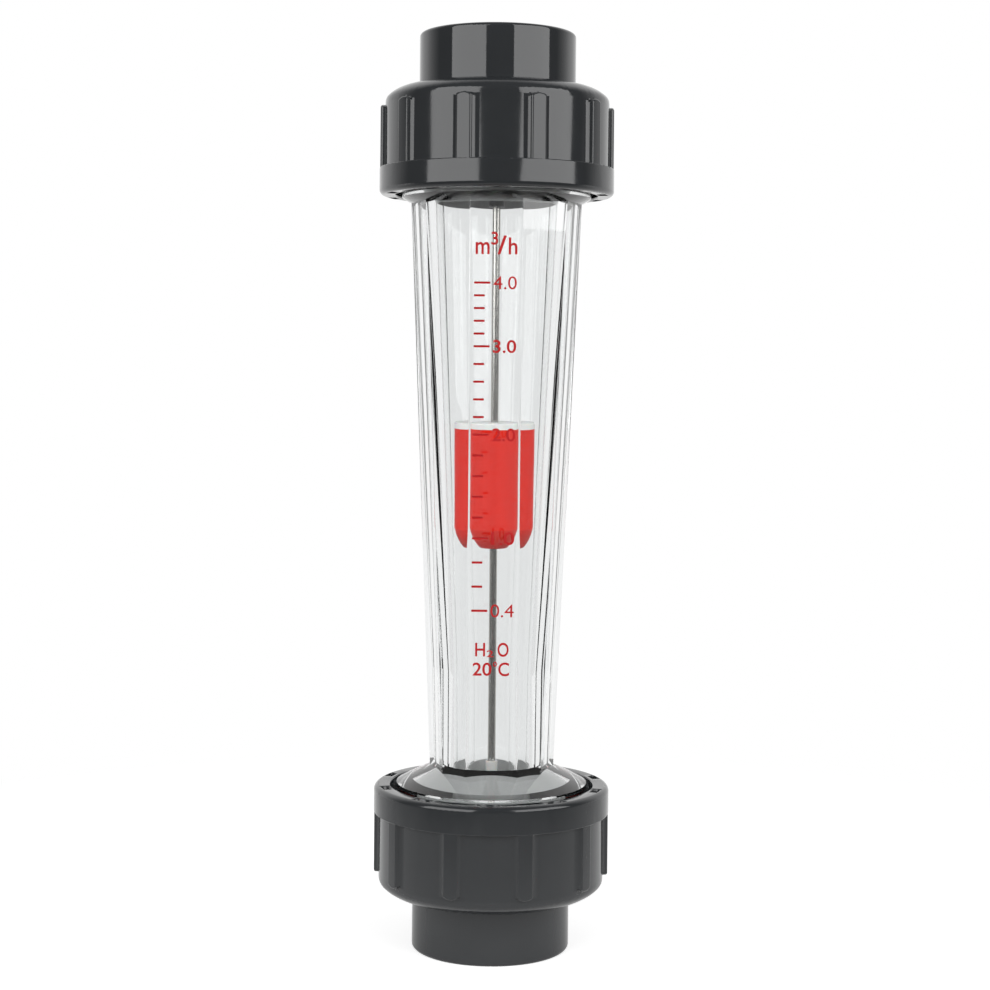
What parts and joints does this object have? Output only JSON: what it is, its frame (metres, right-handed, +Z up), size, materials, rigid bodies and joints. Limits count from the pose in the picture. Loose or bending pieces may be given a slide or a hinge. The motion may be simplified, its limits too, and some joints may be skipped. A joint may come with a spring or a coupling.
{
  "type": "rotameter",
  "caption": "Variable-area flow meter: a red float rides a steel rod in a clear tapered tube between dark plastic union nuts and pipe sockets.",
  "frame": {"origin": "centre of the lower pipe end's face, on the flow axis", "axes": "+Z up along the flow axis, -Y out of the flat that carries the scale"},
  "size_m": [0.078, 0.078, 0.303],
  "materials": {
    "clear_plastic": "clear moulded plastic, polished",
    "dark_plastic": "dark grey moulded PVC, glossy",
    "seal_rubber": "smooth red silicone",
    "bracket_plastic": "grey moulded plastic",
    "stainless": "drawn and polished stainless steel",
    "white_plastic": "natural white moulded plastic",
    "stop_plastic": "black moulded plastic",
    "red_plastic": "red moulded plastic, glossy"
  },
  "bodies": {
    "meter_body": {"measuring_tube": "clear_plastic", "lower_connector": "dark_plastic", "upper_connector": "dark_plastic", "lower_o_ring": "seal_rubber", "upper_o_ring": "seal_rubber", "lower_guide_bracket": "bracket_plastic", "upper_guide_bracket": "bracket_plastic", "guide_rod": "stainless", "lower_rod_washer": "stainless", "upper_rod_washer": "stainless", "lower_rod_nut": "stainless", "upper_rod_nut": "stainless", "lower_stop_sleeve": "white_plastic", "upper_stop_sleeve": "stop_plastic"},
    "lower_nut": {"lower_union_nut": "dark_plastic"},
    "upper_nut": {"upper_union_nut": "dark_plastic"},
    "float": {"float_shell": "red_plastic", "float_cap": "white_plastic", "float_weight": "stainless", "float_liner": "white_plastic"}
  },
  "joints": [
    {"name": "float_slide", "type": "slide", "parent": "meter_body", "child": "float", "axis": [0, 0, 1], "range_m": [-0.0701, 0.0712]},
    {"name": "lower_nut_turn", "type": "hinge", "parent": "meter_body", "child": "lower_nut", "pos_m": [0, 0, 0.0344], "axis": [0, 0, -1], "range_deg": [0, 1800]},
    {"name": "upper_nut_turn", "type": "hinge", "parent": "meter_body", "child": "upper_nut", "pos_m": [0, 0, 0.2686], "axis": [0, 0, 1], "range_deg": [0, 1800]}
  ]
}
